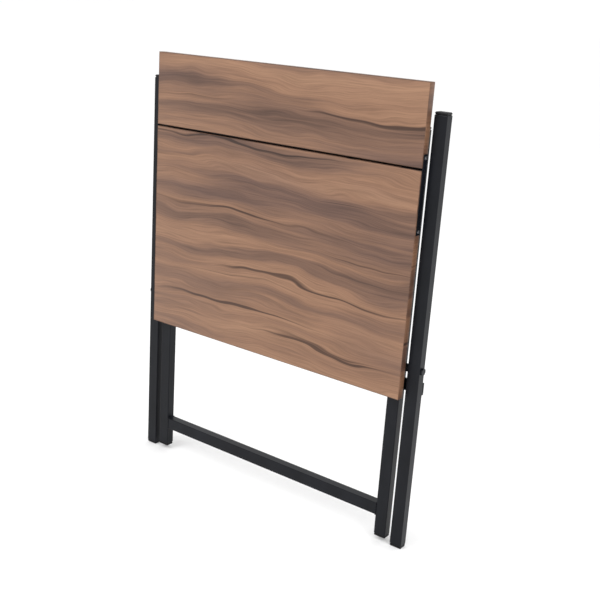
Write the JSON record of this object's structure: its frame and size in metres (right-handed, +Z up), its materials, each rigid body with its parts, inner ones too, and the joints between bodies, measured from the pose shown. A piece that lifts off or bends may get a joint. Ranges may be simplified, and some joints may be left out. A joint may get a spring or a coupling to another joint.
{
  "type": "folding table",
  "caption": "Folding table with a scissor frame of black steel tube and a two-part walnut laminate top hinged to the inner frame.",
  "frame": {"origin": "on the floor under the middle of the folded table's box", "axes": "+Z up, +X to the right seen from the tabletop's face, +Y from the tabletop to the frame behind it"},
  "size_m": [0.7276, 0.0438, 0.928],
  "materials": {
    "walnut_laminate": "matt melamine with long wavy walnut grain",
    "black_powder_coat": "satin black powder coat",
    "black_plastic": "moulded black plastic",
    "zinc_steel": "bright zinc plate"
  },
  "bodies": {
    "outer_frame": {"outer_crossbar": "black_powder_coat", "outer_leg_left": "black_powder_coat", "outer_leg_left_cap": "black_plastic", "outer_leg_left_foot": "black_plastic", "outer_leg_right": "black_powder_coat", "outer_leg_right_cap": "black_plastic", "outer_leg_right_foot": "black_plastic", "pivot_bolt_left": "black_powder_coat", "pivot_bolt_right": "black_powder_coat", "pivot_nut_left": "zinc_steel", "pivot_nut_right": "zinc_steel", "pivot_spacer_left": "black_plastic", "pivot_spacer_right": "black_plastic"},
    "inner_frame": {"frame_lug_left": "black_powder_coat", "frame_lug_right": "black_powder_coat", "hinge_pin_left": "zinc_steel", "hinge_pin_right": "zinc_steel", "inner_leg_left": "black_powder_coat", "inner_leg_left_cap": "black_plastic", "inner_leg_left_foot": "black_plastic", "inner_leg_right": "black_powder_coat", "inner_leg_right_cap": "black_plastic", "inner_leg_right_foot": "black_plastic", "inner_top_bar": "black_powder_coat", "low_stretcher": "black_powder_coat"},
    "tabletop": {"backing_screw_lower_1": "zinc_steel", "backing_screw_lower_2": "zinc_steel", "backing_screw_lower_3": "zinc_steel", "backing_screw_upper_1": "zinc_steel", "backing_screw_upper_2": "zinc_steel", "backing_screw_upper_3": "zinc_steel", "hinge_leaf_left": "zinc_steel", "hinge_leaf_right": "zinc_steel", "hinge_screw_a_left": "zinc_steel", "hinge_screw_a_right": "zinc_steel", "hinge_screw_b_left": "zinc_steel", "hinge_screw_b_right": "zinc_steel", "joining_plate_left": "black_powder_coat", "joining_plate_right": "black_powder_coat", "joint_backing": "black_powder_coat", "main_board": "walnut_laminate", "plate_screw_lower_left": "zinc_steel", "plate_screw_lower_right": "zinc_steel", "plate_screw_upper_left": "zinc_steel", "plate_screw_upper_right": "zinc_steel", "strip_board": "walnut_laminate"}
  },
  "joints": [
    {"name": "frame_fold", "type": "hinge", "parent": "outer_frame", "child": "inner_frame", "pos_m": [0, 0.0066, 0.385], "axis": [-1, 0, 0], "range_deg": [0, 66]},
    {"name": "top_tilt", "type": "hinge", "parent": "inner_frame", "child": "tabletop", "pos_m": [0, 0.0012, 0.862], "axis": [-1, 0, 0], "range_deg": [0, 57]}
  ],
  "couplings": [
    {"joint": "top_tilt", "follows": "frame_fold", "ratio": 0.86364}
  ]
}
